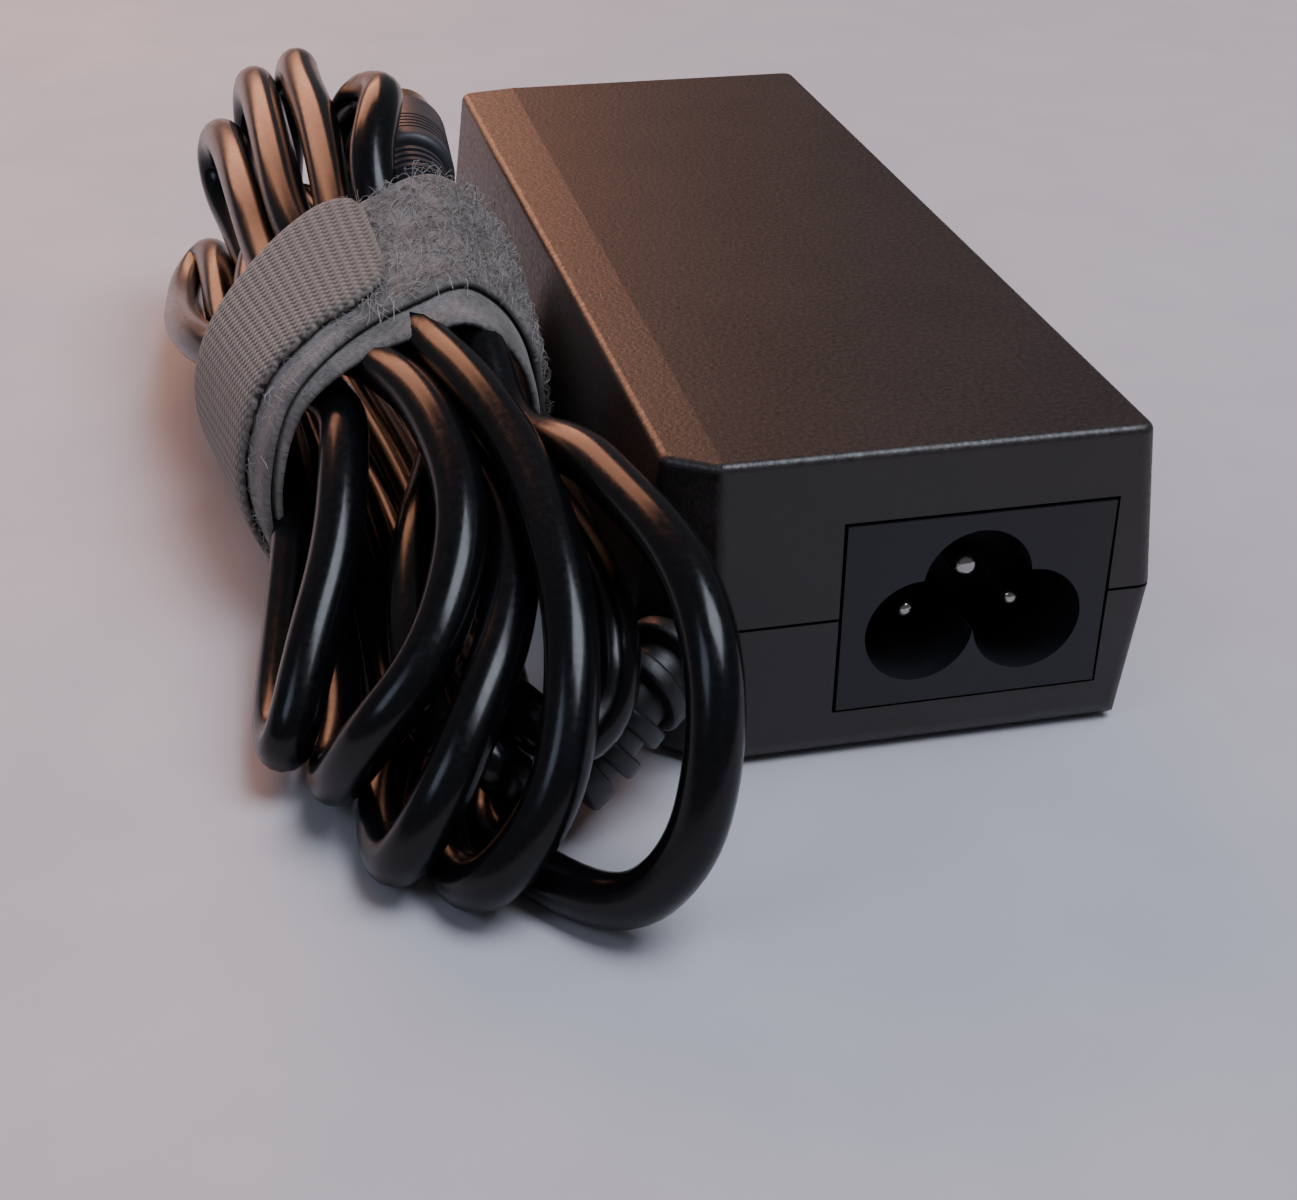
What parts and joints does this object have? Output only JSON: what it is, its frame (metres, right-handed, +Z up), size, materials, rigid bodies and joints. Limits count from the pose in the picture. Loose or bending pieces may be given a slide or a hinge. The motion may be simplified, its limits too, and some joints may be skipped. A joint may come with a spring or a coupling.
{
  "type": "laptop power adapter",
  "caption": "Slab-shaped laptop mains adapter: recessed three-pin inlet at one end, corner strain relief, and its output lead wound beside it in a hook-and-loop strap.",
  "frame": {"origin": "middle of the case's underside, on the surface it lies on", "axes": "+X across the case's width, away from the wound lead; +Y along the case's length, away from the mains inlet; +Z up"},
  "size_m": [0.0836, 0.1375, 0.04],
  "materials": {
    "case_plastic": "fine spark-eroded texture, dark grey-black",
    "inlet_plastic": "satin moulded",
    "inlet_pin_metal": "nickel-plated, bright",
    "wire_insulation": "smooth",
    "board_laminate": "paper-phenolic laminate",
    "spreader_aluminium": "mill",
    "film_plastic": "smooth polyester",
    "fuse_plastic": "moulded",
    "thermistor_coating": "dipped epoxy",
    "film_capacitor_plastic": "moulded box",
    "ferrite": "sintered",
    "copper_wire": "enamelled",
    "package_epoxy": "moulded",
    "capacitor_sleeve": "shrunk sleeve",
    "winding_tape": "polyester tape",
    "heatsink_aluminium": "sheared sheet",
    "disc_coating": "dipped",
    "relief_rubber": "satin moulded vinyl",
    "cord_jacket": "smooth black vinyl, soft gloss",
    "strap_fabric": "hook-and-loop tape: woven back, looped pile",
    "plug_plastic": "satin moulded",
    "contact_brass": "plated, drawn",
    "liner_plastic": "moulded"
  },
  "bodies": {
    "root": {"upper_shell": "case_plastic", "lower_shell": "case_plastic", "inlet_housing": "inlet_plastic", "inlet_pin_line": "inlet_pin_metal", "inlet_pin_neutral": "inlet_pin_metal", "inlet_pin_earth": "inlet_pin_metal", "inlet_leads": "wire_insulation", "output_leads": "wire_insulation", "circuit_board": "board_laminate", "heat_spreader_bottom": "spreader_aluminium", "heat_spreader_top": "spreader_aluminium", "insulating_film": "film_plastic", "fuse": "fuse_plastic", "thermistor": "thermistor_coating", "x_capacitor": "film_capacitor_plastic", "mains_choke_core": "ferrite", "transformer_core": "ferrite", "output_choke": "ferrite", "mains_choke_winding": "copper_wire", "bridge_rectifier": "package_epoxy", "switching_transistor": "package_epoxy", "output_rectifier": "package_epoxy", "optocoupler": "package_epoxy", "control_chip": "package_epoxy", "bulk_capacitor": "capacitor_sleeve", "output_capacitors": "capacitor_sleeve", "transformer_winding": "winding_tape", "primary_heatsink": "heatsink_aluminium", "secondary_heatsink": "heatsink_aluminium", "y_capacitor": "disc_coating", "strain_relief": "relief_rubber", "lead_from_case": "cord_jacket", "cord_hank": "cord_jacket", "lead_to_plug": "cord_jacket", "cable_strap": "strap_fabric", "plug_overmould": "plug_plastic", "plug_barrel": "contact_brass", "plug_inner_sleeve": "contact_brass", "plug_centre_pin": "contact_brass", "plug_insulator": "liner_plastic"}
  },
  "joints": []
}
